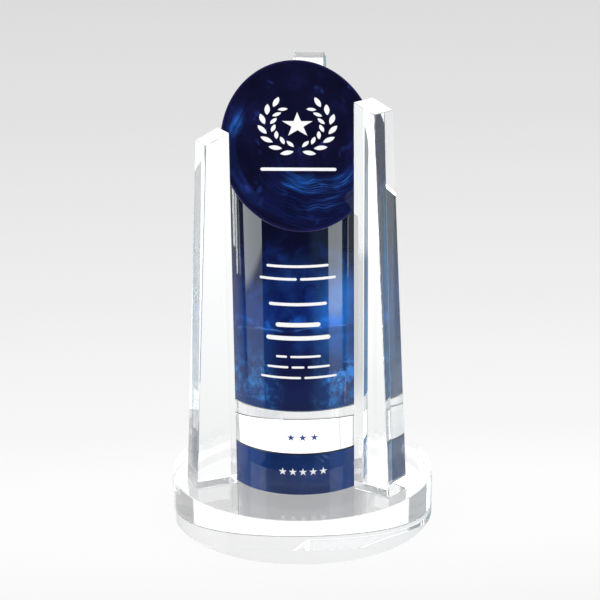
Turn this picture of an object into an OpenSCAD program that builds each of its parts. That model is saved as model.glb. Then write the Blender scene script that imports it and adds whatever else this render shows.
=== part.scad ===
// Column trophy: a blue art-glass column, cut at a slant, on a clear and a blue segment,
// among three clear tapered pillars on a clear round base.
// Millimetres, +Z up. The origin is the centre of the base's underside, and the slanted
// face looks towards -Y. All pieces are bonded, so nothing moves.

/* [Base] */
// Diameter of the clear base disc
base_d = 150; // [140:1:180]
// Thickness of the clear base disc
base_h = 26; // [20:1:40]
// Width of the ground arris on the rims of the base and of the two segments
arris = 0.4; // [0.2:0.1:1.5]

/* [Column] */
// Diameter of the column and of the two segments under it
column_d = 85; // [75:1:90]
// Thickness of each of the two segments
segment_h = 24.5; // [20:0.5:30]
// Height of the slanted face's centre above the table
face_centre_z = 215.5; // [209:0.5:240]
// Slope of the slanted face, in degrees from level
face_slope = 42.5; // [30:0.5:48]

/* [Pillars] */
// Width of a pillar, across the radius
pillar_w = 17; // [12:0.5:22]
// Depth of a pillar at its foot, along the radius
pillar_foot_depth = 24; // [18:0.5:28]
// Depth of a pillar at its top, along the radius
pillar_top_depth = 13; // [8:0.5:17]
// Height of the left pillar's inner edge above the base
left_pillar_h = 200; // [150:1:240]
// Height of the right pillar's inner edge above the base
right_pillar_h = 217; // [150:1:240]
// Height of the rear pillar's inner edge above the base
rear_pillar_h = 233; // [150:1:260]
// Slope of the left pillar's top, falling outwards, in degrees from level
left_top_slope = 25; // [0:0.5:35]
// Slope of the right pillar's top
right_top_slope = 22.5; // [0:0.5:35]
// Slope of the rear pillar's top
rear_top_slope = 19; // [0:0.5:35]
// Gap between the column and the inner face of a pillar
pillar_gap = 0.5; // [0.2:0.1:2]
// Turn of the three pillars about the column, away from the slanted face's direction
pillar_turn = 11.5; // [-20:0.5:20]

/* [Markings] */
// Depth of the etched markings
etch_depth = 0.4; // [0.35:0.05:1]
// Thickness of the colour-fill in the etched markings
fill_t = 0.3; // [0.1:0.05:0.3]
// Turn of the inscription about the column, away from the slanted face's direction
inscription_turn = -5.5; // [-10:0.5:10]
// Turn of the two rows of small stars about the column
star_row_turn = -3; // [-10:0.5:10]
// Turn of the emblem in the slanted face, about its star
emblem_turn = -2; // [-5:0.5:5]
// Radius of the emblem's wreath, along the middle of its leaves
wreath_r = 16.5; // [14:0.5:18]
// Radius of the emblem's star, out to its points
emblem_star_r = 9; // [5:0.5:9.5]
// Radius of the small stars on the two segments
segment_star_r = 2.4; // [1.5:0.1:2.6]

/* [Bonding] */
// Thickness of the adhesive films
bond_t = 0.2; // [0.1:0.05:0.4]
// How far an adhesive film stays back from the edge of its joint
bond_setback = 0.8; // [0.4:0.1:2]

/* [Hidden] */

$fn = 144;

base_r = base_d / 2;
column_r = column_d / 2;

// The column's stack, from the base up, with a film of adhesive in each joint
lower_z = base_h + bond_t;
clear_z = lower_z + segment_h + bond_t;
column_z = clear_z + segment_h + bond_t;
column_blank_h = face_centre_z + column_r * tan(face_slope) - column_z;

// The pillars stand at thirds of a turn, the rear one nearest to the high side of the face
pillar_r = column_r + pillar_gap;
rear_pillar_angle = 90 - pillar_turn;
left_pillar_angle = rear_pillar_angle + 120;
right_pillar_angle = rear_pillar_angle - 120;
pillar_z = base_h + bond_t;

// The emblem's wreath: two branches of paired leaves that open at the top
outer_leaf_l = 7.6;
outer_leaf_w = 3;
inner_leaf_l = 5.6;
inner_leaf_w = 2.3;
leaf_spread = 3.1;
leaf_tilt = 30;
leaf_pairs = 7;
leaf_first_angle = 18;
leaf_step_angle = 21;
emblem_y = 12;
emblem_bar_drop = 29.5;
emblem_bar_w = 41;
emblem_bar_h = 2.2;

// A five-pointed star's inner radius, as a part of its outer radius
star_waist = 0.382;

// Rows of the inscription: height above the column's foot, bar height, bar widths from left to right
inscription_rows = [
    [82, 1.5, [33]],
    [75, 1.5, [20, 19]],
    [61, 1.8, [31]],
    [49.5, 2.5, [24]],
    [42, 2.5, [34.5]],
    [31.5, 1.3, [6, 16.5]],
    [25.5, 1.3, [11.5, 7, 12]],
    [19.5, 1.3, [22, 17.5]]
];
bar_gap = 1.7;

// Rows of small stars on the two segments
clear_star_count = 3;
clear_star_pitch = 6.4;
clear_star_z = clear_z + 9.4;
lower_star_count = 5;
lower_star_pitch = 5.6;
lower_star_z = lower_z + 13.8;

function sum(v, i = 0) = i < len(v) ? v[i] + sum(v, i + 1) : 0;
function sum_before(v, n) = n > 0 ? v[n - 1] + sum_before(v, n - 1) : 0;

// A solid disc with an arris on both rims, standing at height z
module disc(r, h, z) {
    translate([0, 0, z])
        rotate_extrude()
            polygon([
                [0, 0], [r - arris, 0], [r, arris],
                [r, h - arris], [r - arris, h], [0, h]
            ]);
}

// Moves its children onto the slanted face: X across, Y uphill, Z outwards
module on_face() {
    translate([0, 0, face_centre_z])
        rotate([face_slope, 0, 0])
            children();
}

module star(r) {
    polygon([
        for (i = [0:9])
            let (point_r = i % 2 == 0 ? r : r * star_waist)
                [point_r * sin(36 * i), point_r * cos(36 * i)]
    ]);
}

// A bar with round ends
module bar(w, h) {
    square([w - h, h], center = true);
    for (side = [-1, 1])
        translate([side * (w - h) / 2, 0])
            circle(d = h);
}

// A pointed leaf along Y, between two arcs
module leaf(l, w) {
    arc_r = (l * l + w * w) / (4 * w);
    intersection() {
        translate([arc_r - w / 2, 0]) circle(arc_r);
        translate([w / 2 - arc_r, 0]) circle(arc_r);
    }
}

// The right-hand branch of the wreath, from the foot up
module branch() {
    for (i = [0:leaf_pairs - 1])
        rotate(leaf_first_angle + i * leaf_step_angle - 90) {
            translate([wreath_r + leaf_spread, 0]) rotate(-leaf_tilt) leaf(outer_leaf_l, outer_leaf_w);
            translate([wreath_r - leaf_spread, 0]) rotate(leaf_tilt) leaf(inner_leaf_l, inner_leaf_w);
        }
}

module emblem_outline() {
    translate([0, emblem_y])
        rotate(emblem_turn) {
            star(emblem_star_r);
            branch();
            mirror([1, 0]) branch();
            translate([0, -emblem_bar_drop]) bar(emblem_bar_w, emblem_bar_h);
        }
}

module inscription_outline() {
    for (row = inscription_rows) {
        widths = row[2];
        row_w = sum(widths) + bar_gap * (len(widths) - 1);
        for (i = [0:len(widths) - 1])
            translate([sum_before(widths, i) + i * bar_gap + (widths[i] - row_w) / 2, column_z + row[0]])
                bar(widths[i], row[1]);
    }
}

module star_row_outline(count, pitch, z) {
    for (i = [0:count - 1])
        translate([(i - (count - 1) / 2) * pitch, z])
            star(segment_star_r);
}

// The part of an outline's projection, at a turn from the front, between two radii of the column's wall
module on_wall(turn, r_in, r_out) {
    z_top = face_centre_z;
    intersection() {
        difference() {
            cylinder(r = r_out, h = z_top);
            translate([0, 0, -1]) cylinder(r = r_in, h = z_top + 2);
        }
        rotate([90, 0, turn])
            linear_extrude(r_out + 1)
                children();
    }
}

// The cut that etches an outline into the column's wall
module wall_etching(turn) {
    on_wall(turn, column_r - etch_depth, column_r + 1) children();
}

// The colour-fill that lies at the bottom of such a cut
module wall_fill(turn) {
    on_wall(turn, column_r - etch_depth, column_r - etch_depth + fill_t) children();
}

module base() {
    color("whitesmoke", 0.5)
        disc(base_r, base_h, 0);
}

module lower_segment() {
    color([0.08, 0.16, 0.42])
        difference() {
            disc(column_r, segment_h, lower_z);
            wall_etching(star_row_turn) star_row_outline(lower_star_count, lower_star_pitch, lower_star_z);
        }
}

module clear_segment() {
    color("whitesmoke", 0.6)
        difference() {
            disc(column_r, segment_h, clear_z);
            wall_etching(star_row_turn) star_row_outline(clear_star_count, clear_star_pitch, clear_star_z);
        }
}

module column() {
    cut = 4 * column_r;
    color([0.05, 0.08, 0.3])
        difference() {
            translate([0, 0, column_z])
                rotate_extrude()
                    polygon([
                        [0, 0], [column_r - arris, 0], [column_r, arris],
                        [column_r, column_blank_h], [0, column_blank_h]
                    ]);
            on_face() translate([-cut / 2, -cut / 2, 0]) cube(cut);
            on_face() translate([0, 0, -etch_depth]) linear_extrude(etch_depth + 1) emblem_outline();
            wall_etching(inscription_turn) inscription_outline();
        }
}

// A pillar at an angle about the column, its inner face upright and its outer face leaning in
module pillar(angle, h, top_slope) {
    top_drop = pillar_top_depth * tan(top_slope);
    color("whitesmoke", 0.5)
        rotate([90, 0, angle])
            translate([pillar_r, pillar_z, -pillar_w / 2])
                linear_extrude(pillar_w)
                    polygon([
                        [0, 0], [pillar_foot_depth, 0],
                        [pillar_top_depth, h - top_drop], [0, h]
                    ]);
}

module pillar_left() {
    pillar(left_pillar_angle, left_pillar_h, left_top_slope);
}

module pillar_right() {
    pillar(right_pillar_angle, right_pillar_h, right_top_slope);
}

module pillar_rear() {
    pillar(rear_pillar_angle, rear_pillar_h, rear_top_slope);
}

module emblem_fill() {
    color("white")
        on_face()
            translate([0, 0, -etch_depth])
                linear_extrude(fill_t)
                    emblem_outline();
}

module inscription_fill() {
    color("white")
        wall_fill(inscription_turn) inscription_outline();
}

module clear_segment_fill() {
    color([0.1, 0.2, 0.55])
        wall_fill(star_row_turn) star_row_outline(clear_star_count, clear_star_pitch, clear_star_z);
}

module lower_segment_fill() {
    color("white")
        wall_fill(star_row_turn) star_row_outline(lower_star_count, lower_star_pitch, lower_star_z);
}

// A round adhesive film in one of the column's joints
module column_film(z) {
    color("lightgray", 0.6)
        translate([0, 0, z])
            cylinder(r = column_r - arris - bond_setback, h = bond_t);
}

module base_bond() {
    column_film(base_h);
}

module segment_bond() {
    column_film(lower_z + segment_h);
}

module column_bond() {
    column_film(clear_z + segment_h);
}

module pillar_bonds() {
    film_depth = pillar_foot_depth - 2 * bond_setback;
    film_w = pillar_w - 2 * bond_setback;
    color("lightgray", 0.6)
        for (angle = [left_pillar_angle, right_pillar_angle, rear_pillar_angle])
            rotate(angle)
                translate([pillar_r + bond_setback, -film_w / 2, base_h])
                    cube([film_depth, film_w, bond_t]);
}

base();
lower_segment();
clear_segment();
column();
pillar_left();
pillar_right();
pillar_rear();
emblem_fill();
inscription_fill();
clear_segment_fill();
lower_segment_fill();
base_bond();
segment_bond();
column_bond();
pillar_bonds();
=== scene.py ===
"""Column trophy: the polished glass, its swirled colour and its etched markings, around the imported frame.

Metres, in the frame's own axes: +Z up, the slanted face looks towards -Y. Every piece rides on "root".
"""

import math

import bmesh
import bpy
from mathutils import Matrix, Vector


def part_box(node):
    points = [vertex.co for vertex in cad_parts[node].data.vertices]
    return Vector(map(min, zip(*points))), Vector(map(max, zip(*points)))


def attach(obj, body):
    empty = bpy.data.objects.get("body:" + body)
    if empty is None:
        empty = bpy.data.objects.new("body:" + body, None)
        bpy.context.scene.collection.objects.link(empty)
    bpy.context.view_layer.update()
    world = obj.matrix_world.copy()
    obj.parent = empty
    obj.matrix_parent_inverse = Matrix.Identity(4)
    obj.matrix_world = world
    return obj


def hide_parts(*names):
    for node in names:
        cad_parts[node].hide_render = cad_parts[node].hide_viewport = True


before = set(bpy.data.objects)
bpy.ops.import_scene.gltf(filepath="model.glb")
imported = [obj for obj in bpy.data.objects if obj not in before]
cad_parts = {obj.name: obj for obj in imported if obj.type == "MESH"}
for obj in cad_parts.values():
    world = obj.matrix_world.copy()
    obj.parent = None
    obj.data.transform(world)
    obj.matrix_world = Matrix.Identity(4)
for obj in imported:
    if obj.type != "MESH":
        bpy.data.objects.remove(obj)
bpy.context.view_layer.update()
MM = 0.001

# ---------------------------------------------------------------- sizes, from the frame
base_low, base_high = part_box("base")
column_low, column_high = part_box("column")
lower_low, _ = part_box("lower_segment")

BASE_R = (base_high.x - base_low.x) / 2
COLUMN_R = (column_high.x - column_low.x) / 2
FACE_SLOPE = math.radians(42.5)
FACE_Z = column_high.z - COLUMN_R * math.tan(FACE_SLOPE)
ARRIS = 0.4 * MM  # ground edge of the discs and segments
FACE_ARRIS = 0.12 * MM  # ground edge round the slanted face
PILLAR_ARRIS = 0.4 * MM  # ground edges of the pillars
SEGMENTS = 240  # round the lathed pieces
INSCRIPTION_TURN = math.radians(-5.5)  # the inscription is turned this far about the column
STAR_ROW_TURN = math.radians(-3)  # and the rows of small stars this far
ETCH_MIDDLE = 0.25 * MM  # a depth that parts a fill's top from its underside
POCKET_REACH = 1.5 * MM  # how far a pocket's cutter is drawn out through the surface
FILL_PLAY = 0.01 * MM  # how much larger a pocket is than its fill
FILM_PLAY = 0.03 * MM  # gap between an adhesive film and the glass
FOOT_SETBACK = 0.02  # how far the wetted glass under a pillar stays back, as a share of the foot
PILLARS = ("pillar_left", "pillar_right", "pillar_rear")

# ---------------------------------------------------------------- telling parts of a mesh apart
WELD = 0.005 * MM  # corners nearer than this are one
PILLAR_WELD = 0.01 * MM
FLAT_TURN = math.radians(1)  # neighbouring faces that turn less than this are one
ON_WALL = 0.03 * MM  # a corner this near the radius is on the wall
LEVEL = 0.99  # a face that points up or down this much is level
END_FACING = 0.8  # a pillar's end faces point up or down at least this much
END_AREA = 1e-5  # and are larger than this, in square metres

# ---------------------------------------------------------------- the studio
BOUNCES = 96  # light crosses many faces among the pillars, their films and the base
NOT_ZERO = 0.001  # keeps a division safe
BACK_LIGHT = 1.6  # radiance of the lit backdrop through glass
BACK_MIRRORED = 2.9  # and as gloss mirrors it
BACK_MIDDLE = math.radians(5)  # where its middle stands, from straight behind towards +X
BACK_EDGE = math.cos(math.radians(49))  # how far round it reaches from there
BACK_EDGE_BLUR = 0.02
BACK_TOP = math.sin(math.radians(50))  # how high it reaches
BACK_TOP_BLUR = 0.05
SIDE_EDGE = math.cos(math.radians(110))  # how far round the grey sides reach
SIDE_EDGE_BLUR = 0.1
SIDE_GREY = 0.5
TENT_GREY = 0.9  # radiance of the front and ceiling through glass
# radiance of the front and ceiling as gloss mirrors them, from straight down at 0 to straight up at 1
DARK_ROOM = [(0.0, 0.02), (0.45, 0.03), (0.6, 0.2), (0.8, 0.05), (0.9, 0.015)]
RIGHT_LOW = (0.17, 0.29, 0.37)  # radiance of the floor to the right, as gloss mirrors it
RIGHTWARD = (0.1, 0.35)  # how far a ray heads to the right where that begins and is full
DOWNWARD = (0.0, -0.04)  # and how far down
FLOOR_MIRRORED = 1.0  # radiance of the floor behind, as gloss mirrors it
FLOOR_EDGE = math.cos(math.radians(28))  # how far round that floor reaches
FLOOR_EDGE_BLUR = 0.03
HORIZON_BLUR = 0.02
SOFT_LIGHT = 1.2  # radiance of the room on matte surfaces
FAR_GREY = 0.716  # radiance beyond the floor, as the camera sees it
FLOOR_RADIUS = 8.0
FLOOR_DROP = 0.2 * MM  # keeps the floor clear of the base's underside
FLOOR_MATTE = 0.04  # how much light the floor returns of itself
FLOOR_POWER = 0.934  # strength of its glow
UNDER_COLUMN = 0.56  # strength of its glow under the column, turned down there as painted shade
UNDER_BASE_RISE = 0.06  # and how much more under the rest of the base
BASE_PAINTED_SHADE = (0.93, 0.985)  # shares of the base's radius between which its painted shade on the floor ends
COLUMN_PAINTED_SHADE = (0.92, 1.1)  # and of the column's radius, for the deeper painted shade under it
SIDE_FLOOR = 0.62  # radiance of the floor to either side through glass
SIDEWAYS = (0.94, 0.98)  # sines of the turns from the front or back between which that begins
SIDE_START = (0.2, 0.3)  # and the distances
FLOOR_STRETCH = 0.3  # the pool of light on the floor is this much narrower across than in depth
FLOOR_REACH = 3.0  # the distance at which a stop of 1 stands in the two lists of radiance below
CARD_TINT = (0.93, 1.0, 1.0, 1)
CARD_BLUR = 0.01  # half the height over which a card changes strength
CARD_FOOT = (-0.13, -0.075)  # heights between which a card grows to its strength
CARD_FOOT_POWER = 0.4  # share of its strength below them
# each card: name, azimuth in degrees from -Y towards +X, half-width in degrees, distance, low, high,
# height of the change of strength, how much that rises across the card, strength above and below it
CARDS = [
    ("card_left", -75.8, 16.6, 0.55, -0.18, 0.9, 0.002, 0.038, 5.2, 1.2),
    ("card_left_edge", -101.2, 2.2, 0.55, -0.18, 0.9, -0.023, 0.0, 3.1, 1.8),
    ("card_left_end", -112.0, 5.2, 0.55, -0.18, 0.9, -0.009, 0.0, 7.5, 4.0),
    ("card_behind_left", -135, 28.0, 0.32, -0.03, 0.5, 0.0, 0.0, 1.9, 1.9),
    ("card_right", 48.5, 11.0, 0.55, -0.18, 0.9, -0.035, 0.0, 5.2, 1.4),
    ("card_right_edge", 69.6, 2.4, 0.55, -0.18, 0.9, -0.05, 0.0, 3.6, 1.2),
]
SEEN_THROUGH_GLASS = ("card_left_edge", "card_left_end", "card_right_edge")
# radiance of the floor outwards from the middle, as the camera sees it and through glass
FLOOR_POOL = [
    (0.020, 1.0), (0.042, 0.95), (0.085, 0.92), (0.135, 0.871), (0.24, 0.823), (0.41, 0.768), (0.91, 0.716),
]
FLOOR_THROUGH_GLASS = [
    (0.023, 0.92), (0.040, 0.94), (0.058, 0.965), (0.093, 1.0), (0.17, 1.06), (0.33, 1.18),
]

# ---------------------------------------------------------------- glass, adhesive and paint
CRYSTAL_IOR = 1.58
BLUE_IOR = 1.5
ADHESIVE_IOR = 1.48
WETTED_IOR = 1.0  # of wetted glass against the adhesive
MILKY = 0.7  # share of light that passes straight on at each face of the film under a pillar
POLISH = 0.02  # roughness of the coloured glass
GRAIN = 2500.0  # scale of the grain on ground edges
ETCH_GRAIN = 3000.0  # and in the etchings

# ---------------------------------------------------------------- the coloured glass
WALL_CLIMB = 0.13  # height over which the wall's colour and its painted glow change
WALL_DRIFT = 0.03  # and how far that change wanders
# colour by height: partly the glass's own, partly a painted glow of light through the lower and middle wall,
# fading to nearly black above
WALL_COLOUR_AND_GLOW = [
    (0.05, (0.011, 0.016, 0.050)), (0.19, (0.010, 0.017, 0.078)), (0.31, (0.006, 0.008, 0.042)),
    (0.41, (0.005, 0.009, 0.062)), (0.53, (0.003, 0.010, 0.090)), (0.63, (0.003, 0.007, 0.060)),
    (0.77, (0.003, 0.004, 0.027)), (0.90, (0.003, 0.0035, 0.018)),
]
FACE_DEPTHS = [
    (0.35, (0.0035, 0.0036, 0.017)), (0.55, (0.0050, 0.0050, 0.026)), (0.72, (0.0080, 0.0085, 0.055)),
]
LOWER_DEPTHS = [
    (0.35, (0.006, 0.019, 0.085)), (0.55, (0.010, 0.028, 0.115)), (0.70, (0.016, 0.042, 0.165)),
]
FRONT_TURN = 0.12  # the middle of the front, in radians from -Y towards -X
SHEET_HEIGHT = 0.046  # of the wavy sheet, above the column's foot
PALE_SIDE = (0.066, 0.0, 0.050)  # middle of the paler stretch: along the wall from the front, 0, height
SWIRL_CENTRE = (-0.002, 0.010, 0.0)
SWIRL_PITCH = 0.0109  # how far the swirl's streaks move outwards in one radian
SWIRL_EYE = 0.004  # distance from the swirl's centre within which its streaks run together
BRUSH_MARK = (-0.0325, 0.0105, 0.0)
BRUSH_TURN = 0.45

# what each mark adds to the colour of the glass; the rim's glow and the shade under the wavy sheet are
# painted light and shade
VEIL_BLUE = (0.004, 0.024, 0.10)
GLOW_BLUE = (0.006, 0.100, 0.31)
SCARF_BLUE = (0.002, 0.012, 0.07)
LINE_BLUE = (0.06, 0.16, 0.42)
HAZE_BLUE = (0.006, 0.07, 0.33)
CLOUD_BLUE = (0.018, 0.175, 0.45)
SIDE_BLUE = (0.004, 0.025, 0.095)
PATCH_BLUE = (0.02, 0.16, 0.5)
PALE_BLUE = (0.0, 0.120, 0.200)
THREAD_BLUE = (0.03, 0.22, 0.50)
ARC_STREAK_BLUE = (0.032, 0.190, 0.64)
ARC_BLUE = (0.002, 0.020, 0.110)
SECOND_ARC_BLUE = (0.010, 0.045, 0.18)
WAKE_STREAK_BLUE = (0.003, 0.018, 0.09)
WAKE_BLUE = (0.0, 0.0015, 0.013)
BLOB_BLUE = (0.010, 0.120, 0.48)
BRUSH_BLUE = (0.014, 0.105, 0.42)
CRESCENT_BLUE = (0.004, 0.013, 0.070)
RING_BLUE = (0.0015, 0.0025, 0.018)
CURL_BLUE = (0.010, 0.026, 0.13)
# painted glow of light at the slanted face's rim
RIM_PAINTED_GLOW = (0.008, 0.007, 0.045)
LOWER_STREAK_BLUE = (0.05, 0.11, 0.22)
LOWER_SIDE_BLUE = (0.0, 0.022, 0.11)
LOWER_PALE_BLUE = (0.04, 0.22, 0.28)
SHEET_PAINTED_SHADE = (0.004, 0.006, 0.035)  # painted shade under the wavy sheet; this one takes the place of half the colour there

# ---------------------------------------------------------------- the camera
CAMERA_AZIMUTH = math.radians(-3.556)
CAMERA_ELEVATION = math.radians(17.089)
CAMERA_DISTANCE = 0.8605
CAMERA_AIM = Vector((-0.0002, 0, 0.12615))
CAMERA_LENS = 92.13
CAMERA_ROLL = math.radians(0.643)


def make_camera():
    back = Vector((
        math.sin(CAMERA_AZIMUTH) * math.cos(CAMERA_ELEVATION),
        -math.cos(CAMERA_AZIMUTH) * math.cos(CAMERA_ELEVATION),
        math.sin(CAMERA_ELEVATION),
    ))
    camera = bpy.data.objects.new("camera", bpy.data.cameras.new("camera"))
    camera.data.sensor_width = 36
    camera.data.lens = CAMERA_LENS
    camera.data.clip_start = 0.05
    camera.data.clip_end = 50
    turn = (-back).to_track_quat("-Z", "Y").to_matrix().to_4x4()
    place = Matrix.Translation(CAMERA_AIM + back * CAMERA_DISTANCE)
    camera.matrix_world = place @ turn @ Matrix.Rotation(-CAMERA_ROLL, 4, "Z")
    bpy.context.scene.collection.objects.link(camera)
    bpy.context.scene.camera = camera


# ---------------------------------------------------------------- node graphs
def grey(level):
    return (level, level, level)


class Graph:
    """Short calls for building one node tree."""

    def __init__(self, tree):
        self.tree = tree
        tree.nodes.clear()

    def node(self, kind, values=None, **settings):
        """A node with its settings. An input, by name or number, takes a value or the link of a socket."""
        made = self.tree.nodes.new(kind)
        for name, value in settings.items():
            setattr(made, name, value)
        for name, value in (values or {}).items():
            if isinstance(value, bpy.types.NodeSocket):
                self.tree.links.new(value, made.inputs[name])
            else:
                made.inputs[name].default_value = value
        return made

    def math(self, operation, a, b=0.0, c=0.0, clamp=False):
        return self.node(
            "ShaderNodeMath", {0: a, 1: b, 2: c}, operation=operation, use_clamp=clamp
        ).outputs[0]

    def scaled(self, value, factor, start):
        """start + value * factor."""
        return self.math("MULTIPLY_ADD", value, factor, start)

    def product(self, first, *others):
        for other in others:
            first = self.math("MULTIPLY", first, other)
        return first

    def vector(self, operation, a, b=(0, 0, 0)):
        return self.node("ShaderNodeVectorMath", {0: a, 1: b}, operation=operation).outputs[0]

    def length(self, vector):
        return self.node("ShaderNodeVectorMath", {0: vector}, operation="LENGTH").outputs["Value"]

    def place(self):
        return self.node("ShaderNodeTexCoord").outputs["Object"]

    def parts(self, vector):
        outputs = self.node("ShaderNodeSeparateXYZ", {0: vector}).outputs
        return outputs["X"], outputs["Y"], outputs["Z"]

    def turn(self, x, y):
        """The angle about Z, in radians: 0 towards -Y, and growing towards +X."""
        return self.math("ARCTAN2", x, self.math("MULTIPLY", y, -1.0))

    def join(self, x, y, z):
        return self.node("ShaderNodeCombineXYZ", {"X": x, "Y": y, "Z": z}).outputs[0]

    def ramp(self, value, stops):
        """A colour ramp. Each stop is (place, colour), and a colour is three numbers or one grey."""
        made = self.node("ShaderNodeValToRGB", {"Fac": value})
        ramp = made.color_ramp
        while len(ramp.elements) < len(stops):
            ramp.elements.new(0.5)
        for element, (place, colour) in zip(ramp.elements, stops):
            element.position = place
            rgb = colour if isinstance(colour, tuple) else grey(colour)
            element.color = (*rgb, 1)
        return made.outputs["Color"]

    def mix(self, factor, a, b, blend="MIX"):
        made = self.node("ShaderNodeMix", {"Factor": factor}, data_type="RGBA", blend_type=blend)
        for name, value in (("A", a), ("B", b)):
            socket = next(s for s in made.inputs if s.name == name and s.type == "RGBA")
            if isinstance(value, bpy.types.NodeSocket):
                self.tree.links.new(value, socket)
            else:
                socket.default_value = (*value, 1)
        return next(s for s in made.outputs if s.type == "RGBA")

    def add(self, colour, factor, extra):
        """A colour with some of another added to it."""
        return self.mix(factor, colour, extra, "ADD")

    def noise(self, vector, scale, detail=3.0, roughness=0.5, w=None, distortion=0.0):
        """Cloudy noise from 0 to 1. Given w, the noise has that as its fourth dimension."""
        values = {"Vector": vector, "Scale": scale, "Detail": detail, "Roughness": roughness}
        values["Distortion"] = distortion
        if w is not None:
            values["W"] = w
        return self.node(
            "ShaderNodeTexNoise", values, noise_dimensions="3D" if w is None else "4D"
        ).outputs["Fac"]

    def warped(self, vector, scale, reach):
        """A place pushed about by a slow noise."""
        noise = self.node("ShaderNodeTexNoise", {"Vector": vector, "Scale": scale, "Detail": 2.0})
        push = self.vector("SUBTRACT", noise.outputs["Color"], (0.5, 0.5, 0.5))
        return self.vector("ADD", vector, self.vector("MULTIPLY", push, (reach, reach, reach)))

    def between(self, value, low, high):
        """0 at low, 1 at high, smoothly."""
        made = self.node(
            "ShaderNodeMapRange",
            {"Value": value, "From Min": low, "From Max": high, "To Min": 0.0, "To Max": 1.0},
            interpolation_type="SMOOTHSTEP",
        )
        return made.outputs["Result"]

    def band(self, value, low, high, soft):
        """1 from low to high, falling smoothly to 0 over soft beyond them."""
        rise = self.between(value, low - soft, low)
        fall = self.between(value, high + soft, high)
        return self.math("MULTIPLY", rise, fall)

    def lump(self, place, centre, size):
        """1 at a centre, falling smoothly to 0 at the half-sizes given."""
        apart = self.vector("DIVIDE", self.vector("SUBTRACT", place, centre), size)
        return self.between(self.length(apart), 1.0, 0.0)


def new_material(name):
    made = bpy.data.materials.new(name)
    made.use_nodes = True
    return made, Graph(made.node_tree)


def finish_material(graph, shader):
    graph.node("ShaderNodeOutputMaterial", {"Surface": shader})


def finish_glass(graph, colour, roughness, ior, clearness=0.0):
    """Finishes a material as glass. Clearness is the share of light that it lets in."""
    shader = graph.node("ShaderNodeBsdfPrincipled", {
        "Base Color": colour, "Roughness": roughness, "IOR": ior, "Transmission Weight": clearness,
    })
    finish_material(graph, shader.outputs[0])


# ---------------------------------------------------------------- materials of clear glass
def clear_crystal():
    """Clear optical glass, its tint a trace uneven."""
    material, g = new_material("clear_crystal")
    striae = g.noise(g.place(), 18.0, 1.0)
    tint = g.ramp(striae, [(0.3, (0.985, 0.99, 0.99)), (0.7, (1.0, 1.0, 1.0))])
    finish_glass(g, tint, 0.0, CRYSTAL_IOR, 1.0)
    return material


def satin_crystal():
    """The pillars' sawn tops, polished less than their sides, so that they glow softly."""
    material, g = new_material("satin_crystal")
    cloud = g.noise(g.place(), 160.0, 3.0)
    tint = g.ramp(cloud, [(0.35, (0.93, 0.94, 0.93)), (0.65, (0.98, 0.98, 0.98))])
    finish_glass(g, tint, 0.14, CRYSTAL_IOR, 0.3)
    return material


def ground_arris():
    """The fine ground edges of clear glass, whitish and less clear than the polished faces."""
    material, g = new_material("ground_arris")
    rough = g.scaled(g.noise(g.place(), GRAIN, 2.0), 0.2, 0.3)
    finish_glass(g, (0.9, 0.91, 0.92, 1), rough, CRYSTAL_IOR, 0.5)
    return material


def adhesive():
    """Clear cured adhesive, with a few fine bubbles."""
    material, g = new_material("adhesive")
    bubbles = g.node("ShaderNodeTexVoronoi", {"Vector": g.place(), "Scale": 300.0}).outputs["Distance"]
    colour = g.ramp(bubbles, [(0.04, (0.93, 0.94, 0.94)), (0.08, (0.99, 0.99, 0.985))])
    finish_glass(g, colour, 0.0, ADHESIVE_IOR, 1.0)
    return material


def wetted_glass(name, clearness):
    """Glass wetted by adhesive of its own index, which mirrors nothing. Clearness is the share of light
    that passes straight on."""
    material, g = new_material(name)
    finish_glass(g, (1, 1, 1, 1), 0.0, WETTED_IOR, clearness)
    return material


# ---------------------------------------------------------------- materials of coloured glass
# places and heights are in metres, and heights are above the foot of the piece
def unrolled_wall(g, place, foot):
    """A place on a round wall as (distance round from the front, 0, height), its turn and its height."""
    x, y, z = g.parts(place)
    turn = g.turn(x, y)
    height = g.math("SUBTRACT", z, foot)
    return g.join(g.math("MULTIPLY", turn, COLUMN_R), 0.0, height), turn, height


def off_front(g, turn, near, far):
    """0 in the middle of the front, growing to 1 on the sides between two angles from it."""
    return g.between(g.math("ABSOLUTE", g.math("ADD", turn, FRONT_TURN)), near, far)


def add_veils(g, colour, loose, unrolled, height):
    """Veils in the middle heights, brightest to the right of the front."""
    veil = g.noise(loose, 38.0, 4.0, 0.55)
    veils = g.product(g.band(height, 0.042, 0.074, 0.022), g.between(veil, 0.42, 0.66))
    colour = g.add(colour, veils, VEIL_BLUE)
    glow = g.lump(unrolled, (0.021, 0.0, 0.056), (0.021, 1.0, 0.039))
    colour = g.add(colour, g.product(glow, g.scaled(veil, 1.5, 0.1)), GLOW_BLUE)
    scarves = g.between(g.noise(loose, 70.0, 5.0, 0.6, distortion=0.6), 0.50, 0.66)
    return g.add(colour, g.product(scarves, g.band(height, 0.045, 0.080, 0.025)), SCARF_BLUE)


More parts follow.
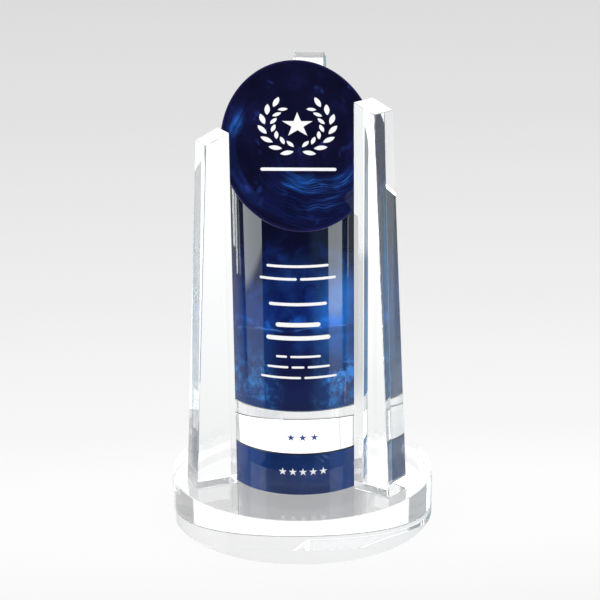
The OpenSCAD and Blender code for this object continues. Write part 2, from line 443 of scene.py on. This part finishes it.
def add_sheet(g, colour, place, loose, turn, height):
    """A wavy sheet of lighter glass, seen on edge as a thin line, with haze above it and painted shade below.
    """
    wave = g.math("MULTIPLY", g.math("SINE", g.scaled(turn, 2.0, 0.6)), 0.0022)
    ripple = g.scaled(g.noise(place, 60.0, 2.0), 0.008, -0.004)
    level = g.math("ADD", g.math("ADD", wave, ripple), SHEET_HEIGHT)
    above = g.math("SUBTRACT", height, level)
    line = g.between(g.math("ABSOLUTE", above), 0.0011, 0.0001)
    strong = g.between(g.noise(place, 75.0, 2.0), 0.35, 0.62)
    colour = g.add(colour, g.product(line, strong), LINE_BLUE)
    thick = g.between(g.noise(loose, 90.0, 4.0), 0.46, 0.64)
    colour = g.add(colour, g.product(g.band(above, 0.001, 0.004, 0.006), thick), HAZE_BLUE)
    # painted shade below the sheet
    shade = g.product(g.band(above, -0.004, -0.001, 0.003), 0.5)
    return g.mix(shade, colour, SHEET_PAINTED_SHADE)


def add_clouds(g, colour, loose, unrolled, turn, height):
    """Clouds low down, thin in the middle of the front, with fine upright wisps in them."""
    sides = off_front(g, turn, 0.12, 0.5)
    puffs = g.between(g.noise(loose, 105.0, 7.0, 0.68, distortion=0.5), 0.45, 0.62)
    drawn = g.vector("MULTIPLY", loose, (1.0, 1.0, 0.22))
    wisps = g.between(g.noise(drawn, 420.0, 4.0, 0.6), 0.42, 0.68)
    low_down = g.band(height, 0.004, 0.018, 0.019)
    clouds = g.product(sides, low_down, puffs, g.scaled(wisps, 0.5, 0.5))
    colour = g.add(colour, clouds, CLOUD_BLUE)
    colour = g.add(colour, g.product(sides, g.band(height, 0.0, 0.05, 0.03)), SIDE_BLUE)
    patch = g.lump(unrolled, (0.023, 0.0, 0.019), (0.015, 1.0, 0.013))
    return g.add(colour, g.product(patch, puffs), PATCH_BLUE)


def add_pale_side(g, colour, place, unrolled):
    """The right side is a paler, greener blue, in upright bands and threads."""
    upright = g.vector("MULTIPLY", place, (1.0, 1.0, 0.06))
    bands = g.between(g.noise(upright, 130.0, 3.0, 0.6), 0.35, 0.65)
    pale = g.product(g.lump(unrolled, PALE_SIDE, (0.038, 1.0, 0.16)), g.scaled(bands, 0.7, 0.3))
    colour = g.add(colour, pale, PALE_BLUE)
    threads = g.between(g.noise(upright, 210.0, 1.0, 0.5), 0.46, 0.68)
    return g.add(colour, g.product(pale, threads), THREAD_BLUE)


def blue_wall():
    """The column's wall: nearly black above, royal blue in the middle, and lighter clouds low down. Its blue
    below the top is partly the glass's own colour and partly a painted glow of light through the glass.
    """
    material, g = new_material("blue_wall")
    place = g.place()
    unrolled, turn, height = unrolled_wall(g, place, column_low.z)
    loose = g.warped(place, 45.0, 0.012)
    level = g.scaled(g.noise(place, 20.0, 3.0), WALL_DRIFT, height)
    # the glass's colour by height, with a painted glow of light through the lower and middle wall
    colour = g.ramp(g.math("DIVIDE", level, WALL_CLIMB, clamp=True), WALL_COLOUR_AND_GLOW)
    colour = add_veils(g, colour, loose, unrolled, height)
    colour = add_sheet(g, colour, place, loose, turn, height)
    colour = add_clouds(g, colour, loose, unrolled, turn, height)
    colour = add_pale_side(g, colour, place, unrolled)
    finish_glass(g, colour, POLISH, BLUE_IOR)
    return material


def swirl_streaks(g, loose):
    """The turn about the swirl's centre, the distance out along its spiral, and fine and broad streaks."""
    from_centre = g.vector("SUBTRACT", loose, SWIRL_CENTRE)
    x, y, _ = g.parts(from_centre)
    turn = g.turn(x, y)
    reach = g.length(from_centre)
    spiral = g.scaled(turn, -SWIRL_PITCH, reach)
    past_eye = g.math("ADD", reach, SWIRL_EYE)
    heading = g.vector("DIVIDE", from_centre, g.join(past_eye, past_eye, past_eye))
    fine = g.noise(heading, 2.6, 5.0, 0.65, w=g.math("MULTIPLY", spiral, 700.0))
    broad = g.noise(heading, 1.8, 3.0, 0.5, w=g.math("MULTIPLY", spiral, 190.0))
    return turn, spiral, g.between(fine, 0.46, 0.66), g.between(broad, 0.42, 0.64)


def add_swirl(g, colour, loose, turn, spiral, fine, broad):
    """Two bright arcs along the spiral, the wake round them, and a blob where the first arc begins."""
    streaks = g.math("MULTIPLY", fine, g.scaled(broad, 0.8, 0.2))
    arc = g.product(g.band(turn, -0.05, 0.75, 0.30), g.band(spiral, 0.0275, 0.0320, 0.0030))
    colour = g.add(colour, g.product(arc, streaks), ARC_STREAK_BLUE)
    colour = g.add(colour, g.product(arc, broad), ARC_BLUE)
    second = g.product(g.band(turn, 0.30, 0.90, 0.30), g.band(spiral, 0.0370, 0.0400, 0.0030))
    colour = g.add(colour, g.product(second, streaks), SECOND_ARC_BLUE)
    wake = g.product(g.band(turn, -0.35, 0.75, 0.45), g.band(spiral, 0.0270, 0.0480, 0.0040))
    colour = g.add(colour, g.product(wake, streaks), WAKE_STREAK_BLUE)
    colour = g.add(colour, wake, WAKE_BLUE)
    blob = g.lump(loose, (-0.001, -0.0185, 0.0), (0.011, 0.0048, 1.0))
    return g.add(colour, g.product(blob, g.scaled(fine, 0.7, 0.3)), BLOB_BLUE)


def add_left_marks(g, colour, loose, broad, across, turn):
    """On the left of the face, a bright brush mark and a crescent that follows the rim."""
    brush = g.node("ShaderNodeVectorRotate", {"Vector": loose, "Center": BRUSH_MARK, "Angle": BRUSH_TURN})
    brush = brush.outputs[0]
    mark = g.lump(brush, BRUSH_MARK, (0.0042, 0.010, 1.0))
    drawn = g.vector("MULTIPLY", brush, (1.0, 0.12, 1.0))
    hairs = g.between(g.noise(drawn, 520.0, 3.0, 0.6), 0.40, 0.62)
    colour = g.add(colour, g.product(mark, g.scaled(hairs, 0.8, 0.2)), BRUSH_BLUE)
    crescent = g.product(g.band(across, 0.83, 0.92, 0.05), g.band(turn, -1.9, -0.95, 0.35))
    return g.add(colour, g.product(crescent, g.scaled(broad, 0.6, 0.4)), CRESCENT_BLUE)


def add_ring_and_rim(g, colour, loose, across):
    """A broken ring near the rim, a few small curls anywhere, and a painted glow of light at the rim."""
    broken = g.between(g.noise(loose, 60.0, 3.0), 0.45, 0.65)
    colour = g.add(colour, g.product(g.band(across, 0.70, 0.86, 0.1), broken), RING_BLUE)
    curls = g.between(g.noise(loose, 115.0, 3.0, 0.5, distortion=0.3), 0.60, 0.78)
    colour = g.add(colour, curls, CURL_BLUE)
    # painted glow at the rim
    return g.add(colour, g.between(across, 0.955, 1.0), RIM_PAINTED_GLOW)


def blue_face():
    """The slanted face: blue-black glass with swirls drawn round it and a painted glow at its rim."""
    material, g = new_material("blue_face")
    x, y, _ = g.parts(g.place())
    flat = g.join(x, y, 0.0)
    across = g.math("DIVIDE", g.length(flat), COLUMN_R)
    loose = g.warped(flat, 55.0, 0.008)
    colour = g.ramp(g.noise(loose, 45.0, 4.0, 0.6), FACE_DEPTHS)
    turn, spiral, fine, broad = swirl_streaks(g, loose)
    colour = add_swirl(g, colour, loose, turn, spiral, fine, broad)
    colour = add_left_marks(g, colour, loose, broad, across, g.turn(x, y))
    colour = add_ring_and_rim(g, colour, loose, across)
    finish_glass(g, colour, POLISH, BLUE_IOR)
    return material


def blue_lower():
    """The lower segment: an even mid-blue glass with faint slanted streaks in it, paler on the right."""
    material, g = new_material("blue_lower")
    place = g.place()
    loose = g.warped(place, 40.0, 0.015)
    colour = g.ramp(g.noise(loose, 40.0, 4.0, 0.55), LOWER_DEPTHS)
    slanted = g.node("ShaderNodeMapping", {"Vector": loose, "Rotation": (0.0, 0.9, 0.0)}).outputs[0]
    drawn = g.vector("MULTIPLY", slanted, (1.0, 1.0, 0.12))
    streaks = g.between(g.noise(drawn, 330.0, 4.0, 0.6), 0.60, 0.76)
    where = g.between(g.noise(place, 32.0, 1.0), 0.48, 0.62)
    colour = g.add(colour, g.product(streaks, where), LOWER_STREAK_BLUE)
    unrolled, turn, _ = unrolled_wall(g, place, lower_low.z)
    colour = g.add(colour, off_front(g, turn, 0.3, 0.6), LOWER_SIDE_BLUE)
    pale = g.lump(unrolled, PALE_SIDE, (0.040, 1.0, 0.13))
    colour = g.add(colour, pale, LOWER_PALE_BLUE)
    finish_glass(g, colour, POLISH, BLUE_IOR)
    return material


def blue_arris(name, light, dark):
    """A fine ground edge of the coloured glass. Near-black colours, as at the joint, are painted shadow."""
    material, g = new_material(name)
    colour = g.ramp(g.noise(g.place(), GRAIN, 2.0), [(0.35, dark), (0.65, light)])
    finish_glass(g, colour, 0.35, BLUE_IOR)
    return material


def colour_fill(name, light, dark):
    """Matte paint in an etching, with the grain of the etched glass under it."""
    material, g = new_material(name)
    grain = g.noise(g.place(), ETCH_GRAIN, 3.0)
    colour = g.ramp(grain, [(0.35, dark), (0.6, light)])
    bump = g.node("ShaderNodeBump", {"Strength": 0.3, "Distance": 0.05 * MM, "Height": grain})
    shader = g.node("ShaderNodeBsdfPrincipled", {
        "Base Color": colour, "Roughness": 0.6, "Normal": bump.outputs[0],
    })
    finish_material(g, shader.outputs[0])
    return material


# ---------------------------------------------------------------- pieces
def object_from(name, bm, materials=()):
    """Makes an object of a bmesh and puts it in the scene."""
    mesh = bpy.data.meshes.new(name)
    bm.to_mesh(mesh)
    bm.free()
    for material in materials:
        mesh.materials.append(material)
    made = bpy.data.objects.new(name, mesh)
    bpy.context.scene.collection.objects.link(made)
    return made


def piece_from(name, bm, materials, slot, *nodes):
    """Makes a piece of a bmesh, puts it on the root body and lets it stand for the CAD nodes named."""
    bm.normal_update()
    made = object_from(name, bm, materials)
    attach(made, "root")
    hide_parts(*nodes)
    return made


def welded(node, reach):
    """A bmesh of a CAD node, with corners nearer to each other than reach made one."""
    bm = bmesh.new()
    bm.from_mesh(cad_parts[node].data)
    bmesh.ops.remove_doubles(bm, verts=bm.verts, dist=reach)
    return bm


def lathe(profile, row_materials):
    """A bmesh turned about Z from (radius, height) points. The first and last points close in flat caps.
    Each row of faces has its material's number in row_materials."""
    bm = bmesh.new()
    rings = []
    for radius, height in profile:
        rings.append([
            bm.verts.new((
                radius * math.cos(2 * math.pi * i / SEGMENTS),
                radius * math.sin(2 * math.pi * i / SEGMENTS),
                height,
            ))
            for i in range(SEGMENTS)
        ])
    for row, (low, high) in enumerate(zip(rings, rings[1:])):
        for i in range(SEGMENTS):
            j = (i + 1) % SEGMENTS
            face = bm.faces.new((low[i], low[j], high[j], high[i]))
            face.smooth = True
            face.material_index = row_materials[row]
    bm.faces.new(list(reversed(rings[0])))
    bm.faces.new(rings[-1])
    return bm


def disc_profile(radius, low, high):
    return [
        (radius - ARRIS, low), (radius, low + ARRIS),
        (radius, high - ARRIS), (radius - ARRIS, high),
    ]


def face_up():
    """The slanted face's outward direction."""
    return Vector((0, -math.sin(FACE_SLOPE), math.cos(FACE_SLOPE)))


def set_round_normals(made, radius):
    """Exact normals: radial on the wall of a turned piece, sloping on its ground edges, flat elsewhere."""
    mesh = made.data
    normals = []
    for polygon in mesh.polygons:
        corners = [mesh.vertices[mesh.loops[i].vertex_index].co for i in polygon.loop_indices]
        on_wall = all(abs(math.hypot(c.x, c.y) - radius) < ON_WALL for c in corners)
        on_arris = polygon.material_index in (1, 2) and abs(polygon.normal.z) < LEVEL
        for corner in corners:
            out = Vector((corner.x, corner.y, 0)).normalized()
            if on_wall:
                normals.append(out)
            elif on_arris:
                tilt = Vector((0, 0, polygon.normal.z))
                normals.append((out * math.sqrt(1 - polygon.normal.z ** 2) + tilt).normalized())
            else:
                normals.append(polygon.normal.copy())
    mesh.normals_split_custom_set(normals)


def fill_cutter(node, outwards, depth):
    """A cutter for the pocket that a colour-fill lies in: the fill's own mesh, a hair larger, and drawn out
    through the surface."""
    bm = welded(node, WELD)
    bmesh.ops.recalc_face_normals(bm, faces=bm.faces)
    bm.normal_update()
    pushes = []
    for vert in bm.verts:
        push = vert.normal * FILL_PLAY
        if depth(vert.co) < ETCH_MIDDLE:
            push = push + outwards * POCKET_REACH
        pushes.append(push)
    for vert, push in zip(bm.verts, pushes):
        vert.co += push
    return object_from(node + "_cutter", bm)


def wall_cutter(node, turn):
    """A cutter for marks in a round wall, drawn out along the direction that they face."""
    facing = Vector((math.sin(turn), -math.cos(turn), 0))
    return fill_cutter(node, facing, lambda spot: COLUMN_R - math.hypot(spot.x, spot.y))


def face_cutter(node):
    """A cutter for marks in the slanted face."""
    out = face_up()
    level = out.dot(Vector((0, 0, FACE_Z)))
    return fill_cutter(node, out, lambda spot: level - out.dot(spot))


def cut(made, cutter):
    """Applies a boolean cut, then drops the cutter."""
    cutting = made.modifiers.new("pocket", "BOOLEAN")
    cutting.operation = "DIFFERENCE"
    cutting.solver = "EXACT"
    cutting.object = cutter
    bpy.context.view_layer.update()
    solid = made.evaluated_get(bpy.context.evaluated_depsgraph_get())
    mesh = bpy.data.meshes.new_from_object(solid)
    made.modifiers.remove(cutting)
    old = made.data
    made.data = mesh
    bpy.data.meshes.remove(old)
    bpy.data.objects.remove(cutter)


def make_segment(node, materials, slot):
    """A disc as wide as the column, with a row of small stars cut in its wall. The materials are those of its
    polish and its ground edges, and the last is its upper edge's."""
    low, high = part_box(node)
    turned = lathe(disc_profile(COLUMN_R, low.z, high.z), (1, 0, len(materials) - 1))
    made = piece_from(node + "_glass", turned, materials, slot, node)
    cut(made, wall_cutter(node + "_fill", STAR_ROW_TURN))
    set_round_normals(made, COLUMN_R)


def foot_corners(node):
    """A pillar's four lowest corners, in order round its foot, drawn in by FOOT_SETBACK."""
    points = [vert.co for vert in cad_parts[node].data.vertices]
    low = min(point.z for point in points)
    feet = {(round(point.x, 6), round(point.y, 6)) for point in points if point.z < low + PILLAR_WELD}
    middle = Vector((sum(x for x, _ in feet), sum(y for _, y in feet))) / len(feet)
    round_foot = sorted(feet, key=lambda foot: math.atan2(foot[1] - middle.y, foot[0] - middle.x))
    return [middle + (Vector(foot) - middle) * (1 - FOOT_SETBACK) for foot in round_foot]


def make_base(materials):
    """The base disc. Its top is wetted glass where the pillars are bonded to it. The materials are those of
    its polish, its ground edges and the wetted glass."""
    bm = lathe(disc_profile(BASE_R, base_low.z, base_high.z), (1, 0, 1))
    bm.faces.ensure_lookup_table()
    top = bm.faces[-1]
    edges = list(top.edges)
    bmesh.ops.delete(bm, geom=[top], context="FACES_ONLY")
    for node in PILLARS:
        patch = bm.faces.new([bm.verts.new((*foot, base_high.z)) for foot in foot_corners(node)])
        patch.material_index = 2
        edges.extend(patch.edges)
    filled = bmesh.ops.triangle_fill(bm, edges=edges, use_beauty=True, normal=(0, 0, 1))
    for face in filled["geom"]:
        if isinstance(face, bmesh.types.BMFace):
            face.material_index = 0
    bmesh.ops.recalc_face_normals(bm, faces=bm.faces)
    made = piece_from("base_glass", bm, materials, "clear_crystal", "base")
    set_round_normals(made, BASE_R)


def make_column(materials):
    """The tall column: a lathed wall cut by the slanted plane, with a ground arris round the cut. The
    materials are those of its wall, its lower edge, the edge of its slanted face and that face."""
    bm = bmesh.new()
    slope = math.tan(FACE_SLOPE)
    low = column_low.z
    inner = COLUMN_R - FACE_ARRIS
    rings = [[] for _ in range(4)]
    for i in range(SEGMENTS):
        turn = 2 * math.pi * i / SEGMENTS
        x, y = math.cos(turn), math.sin(turn)
        points = [
            ((COLUMN_R - ARRIS) * x, (COLUMN_R - ARRIS) * y, low),
            (COLUMN_R * x, COLUMN_R * y, low + ARRIS),
            (COLUMN_R * x, COLUMN_R * y, FACE_Z + slope * COLUMN_R * y - FACE_ARRIS),
            (inner * x, inner * y, FACE_Z + slope * inner * y),
        ]
        for ring, point in zip(rings, points):
            ring.append(bm.verts.new(point))
    for row, (lower, upper) in enumerate(zip(rings, rings[1:])):
        for i in range(SEGMENTS):
            j = (i + 1) % SEGMENTS
            face = bm.faces.new((lower[i], lower[j], upper[j], upper[i]))
            face.smooth = True
            face.material_index = (1, 0, 2)[row]
    bm.faces.new(list(reversed(rings[0])))
    bm.faces.new(rings[-1]).material_index = 3
    made = piece_from("column_glass", bm, materials, "blue_art_glass", "column")
    cut(made, face_cutter("emblem_fill"))
    cut(made, wall_cutter("inscription_fill", INSCRIPTION_TURN))
    set_round_normals(made, COLUMN_R)


def make_film(node, material):
    """A film of adhesive, a hair clear of the two faces it joins."""
    low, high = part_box(node)
    middle = (low.z + high.z) / 2
    bm = welded(node, WELD)
    for vert in bm.verts:
        vert.co.z += FILM_PLAY if vert.co.z < middle else -FILM_PLAY
    bmesh.ops.recalc_face_normals(bm, faces=bm.faces)
    piece_from(node + "_film", bm, [material], "adhesive", node)


def make_pillar(node, materials):
    """A pillar with its CAD node's corners and fine ground edges. The materials are those of its sides and
    edges, its top and its underside."""
    bm = welded(node, PILLAR_WELD)
    bmesh.ops.dissolve_limit(bm, angle_limit=FLAT_TURN, verts=bm.verts, edges=bm.edges)
    bmesh.ops.recalc_face_normals(bm, faces=bm.faces)
    for face in bm.faces:
        face.smooth = False
        face.material_index = 0
    bmesh.ops.bevel(
        bm, geom=list(bm.edges), offset=PILLAR_ARRIS, offset_type="WIDTH",
        segments=1, affect="EDGES",
    )
    bm.normal_update()
    for face in bm.faces:
        if abs(face.normal.z) > END_FACING and face.calc_area() > END_AREA:
            face.material_index = 1 if face.normal.z > 0 else 2
    piece_from(node + "_glass", bm, materials, "clear_crystal", node)


def make_fill(node, material):
    """An etched mark's colour-fill keeps its CAD shape."""
    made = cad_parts[node]
    made.data.materials.clear()
    made.data.materials.append(material)


# ---------------------------------------------------------------- stage
def make_floor():
    """A pale sweep, brightest round the trophy in a painted pool of light, with painted shade under the base,
    deeper under the column. Light through glass finds it brighter, with grey sides.
    """
    material, g = new_material("floor")
    place = g.place()
    x, _, _ = g.parts(place)
    distance = g.length(place)
    depth = g.length(g.vector("MULTIPLY", place, (FLOOR_STRETCH, 1, 1)))
    reach = g.math("DIVIDE", depth, FLOOR_REACH, clamp=True)
    sideways = g.math("DIVIDE", g.math("ABSOLUTE", x), g.math("MAXIMUM", distance, NOT_ZERO))
    side = g.math("MULTIPLY", g.between(sideways, *SIDEWAYS), g.between(distance, *SIDE_START))
    beyond = g.mix(side, g.ramp(reach, FLOOR_THROUGH_GLASS), grey(SIDE_FLOOR))
    camera = g.node("ShaderNodeLightPath").outputs["Is Camera Ray"]
    shown = g.mix(camera, beyond, g.ramp(reach, FLOOR_POOL))

    # painted shade: the floor's glow is turned down under the base, and further under the column
    open_floor = g.between(distance, *(BASE_R * share for share in BASE_PAINTED_SHADE))
    off_column = g.between(distance, *(COLUMN_R * share for share in COLUMN_PAINTED_SHADE))
    under = g.scaled(off_column, UNDER_BASE_RISE, UNDER_COLUMN)
    glow_in_painted_shade = g.math("MULTIPLY", under, g.math("SUBTRACT", 1.0, open_floor))
    power = g.scaled(open_floor, FLOOR_POWER, glow_in_painted_shade)
    glow = g.node("ShaderNodeEmission", {"Color": shown, "Strength": power})
    matte = g.node("ShaderNodeBsdfDiffuse", {"Color": (*grey(FLOOR_MATTE), 1)})
    shader = g.node("ShaderNodeAddShader", {0: glow.outputs[0], 1: matte.outputs[0]})
    finish_material(g, shader.outputs[0])

    bm = bmesh.new()
    bmesh.ops.create_circle(bm, cap_ends=True, segments=128, radius=FLOOR_RADIUS)
    floor = object_from("floor", bm, [material])
    floor.location.z = -FLOOR_DROP
    floor.visible_glossy = False


def card_material(name, across, half, change, rise, strength, lower_strength):
    """A card's glow, which changes strength along a line that rises across it and fades at its foot."""
    material, g = new_material(name)
    place = g.place()
    _, _, height = g.parts(place)
    along = g.node("ShaderNodeVectorMath", {0: place, 1: tuple(across)}, operation="DOT_PRODUCT")
    edge = g.scaled(along.outputs["Value"], rise / (2 * half), change)
    lit = g.between(g.math("SUBTRACT", height, edge), -CARD_BLUR, CARD_BLUR)
    power = g.scaled(lit, strength - lower_strength, lower_strength)
    foot = g.scaled(g.between(height, *CARD_FOOT), 1 - CARD_FOOT_POWER, CARD_FOOT_POWER)
    glow = g.node("ShaderNodeEmission", {"Color": CARD_TINT, "Strength": g.product(power, foot)})
    finish_material(g, glow.outputs[0])
    return material


def make_card(name, azimuth, half_width, distance, low, high, change, rise, strength, lower_strength):
    """An upright glowing card that faces the trophy's axis. Gloss mirrors it, and the cards named in
    SEEN_THROUGH_GLASS are seen through glass too."""
    angle = math.radians(azimuth)
    toward = Vector((math.sin(angle), -math.cos(angle), 0))
    across = Vector((math.cos(angle), math.sin(angle), 0))
    half = distance * math.tan(math.radians(half_width))
    bm = bmesh.new()
    corners = []
    for side, z in ((-half, low), (half, low), (half, high), (-half, high)):
        spot = toward * distance + across * side
        corners.append(bm.verts.new((spot.x, spot.y, z)))
    bm.faces.new(corners)
    glow = card_material(name, across, half, change, rise, strength, lower_strength)
    card = object_from(name, bm, [glow])
    card.visible_camera = False
    card.visible_diffuse = False
    card.visible_transmission = name in SEEN_THROUGH_GLASS
    card.visible_shadow = False


def lit_back(g, backward, z, mirrored):
    """Radiance of the lit back. Mirrored, it is stronger, and the floor shows below it."""
    above = g.between(z, -HORIZON_BLUR, HORIZON_BLUR)
    straight = g.between(backward, FLOOR_EDGE - FLOOR_EDGE_BLUR, FLOOR_EDGE + FLOOR_EDGE_BLUR)
    floor_sheen = g.scaled(straight, FLOOR_MIRRORED - SIDE_GREY, SIDE_GREY)
    sheen = g.scaled(above, g.math("SUBTRACT", BACK_MIRRORED, floor_sheen), floor_sheen)
    return g.scaled(mirrored, g.math("SUBTRACT", sheen, BACK_LIGHT), BACK_LIGHT)


def rest_of_room(g, backward, low_enough, z, mirrored):
    """Radiance of all but the lit back: a pale tent with grey sides, and mirrored, a dark room with them."""
    side = g.between(backward, SIDE_EDGE - SIDE_EDGE_BLUR, SIDE_EDGE + SIDE_EDGE_BLUR)
    tent = g.mix(side, grey(TENT_GREY), grey(SIDE_GREY))
    dark = g.ramp(g.scaled(z, 0.5, 0.5), DARK_ROOM)
    room = g.mix(g.math("MULTIPLY", side, low_enough), dark, grey(SIDE_GREY))
    return g.mix(mirrored, tent, room)


def make_world():
    """A strongly lit back, grey sides and, for mirrored light only, a dark front and ceiling and a floor that
    is blue-grey to the right."""
    world = bpy.data.worlds.new("studio")
    bpy.context.scene.world = world
    world.use_nodes = True
    g = Graph(world.node_tree)
    x, y, z = g.parts(g.node("ShaderNodeTexCoord").outputs["Generated"])
    path = g.node("ShaderNodeLightPath").outputs
    mirrored = g.math("MULTIPLY", path["Is Glossy Ray"], path["Is Reflection Ray"])

    # 1 towards the middle of the back at any slope, and -1 away from it
    level = g.math("SQRT", g.math("SUBTRACT", 1.0, g.math("MULTIPLY", z, z)))
    along = g.scaled(y, math.cos(BACK_MIDDLE), g.math("MULTIPLY", x, math.sin(BACK_MIDDLE)))
    backward = g.math("DIVIDE", along, g.math("MAXIMUM", level, NOT_ZERO))

    back = g.between(backward, BACK_EDGE - BACK_EDGE_BLUR, BACK_EDGE + BACK_EDGE_BLUR)
    low_enough = g.between(z, BACK_TOP + BACK_TOP_BLUR, BACK_TOP - BACK_TOP_BLUR)
    around = rest_of_room(g, backward, low_enough, z, mirrored)
    seen = g.mix(g.math("MULTIPLY", back, low_enough), around, lit_back(g, backward, z, mirrored))
    right_low = g.product(g.between(x, *RIGHTWARD), g.between(z, *DOWNWARD), mirrored)
    seen = g.mix(right_low, seen, RIGHT_LOW)
    sharp = g.math("ADD", mirrored, path["Is Transmission Ray"], clamp=True)
    seen = g.mix(sharp, grey(SOFT_LIGHT), seen)
    seen = g.mix(path["Is Camera Ray"], seen, grey(FAR_GREY))
    background = g.node("ShaderNodeBackground", {"Color": seen, "Strength": 1.0})
    g.node("ShaderNodeOutputWorld", {"Surface": background.outputs[0]})


# ---------------------------------------------------------------- putting it together
make_camera()
make_world()
make_floor()
for card in CARDS:
    make_card(*card)

scene = bpy.context.scene
scene.view_settings.view_transform = "Standard"
scene.cycles.max_bounces = BOUNCES
scene.cycles.transmission_bounces = BOUNCES
scene.cycles.glossy_bounces = BOUNCES
scene.cycles.transparent_max_bounces = 16

polished_crystal = clear_crystal()
crystal = [polished_crystal, ground_arris()]
wetted = wetted_glass("wetted_glass", 1.0)
pillar_crystal = [polished_crystal, satin_crystal(), wetted]
light_arris = blue_arris("blue_arris", (0.30, 0.34, 0.46), (0.12, 0.15, 0.26))
face_arris = blue_arris("face_arris", (0.030, 0.026, 0.10), (0.012, 0.010, 0.05))
# near black: the lower segment's upper ground edge, darkened as a painted shadow of the gap at the joint
joint_shadow_arris = blue_arris("joint_shadow_arris", (0.004, 0.004, 0.004), (0.001, 0.001, 0.001))
white_fill = colour_fill("white_fill", (0.93, 0.93, 0.94), (0.82, 0.82, 0.84))
blue_fill = colour_fill("blue_fill", (0.02, 0.07, 0.3), (0.01, 0.04, 0.2))
bond = adhesive()

make_base([*crystal, wetted])
make_segment("lower_segment", [blue_lower(), light_arris, joint_shadow_arris], "blue_art_glass")
make_segment("clear_segment", crystal, "clear_crystal")
make_column([blue_wall(), light_arris, face_arris, blue_face()])
for node in PILLARS:
    make_pillar(node, pillar_crystal)
for node in ("emblem_fill", "inscription_fill", "lower_segment_fill"):
    make_fill(node, white_fill)
make_fill("clear_segment_fill", blue_fill)
for node in ("base_bond", "segment_bond", "column_bond"):
    make_film(node, bond)
make_film("pillar_bonds", wetted_glass("milky_adhesive", MILKY))
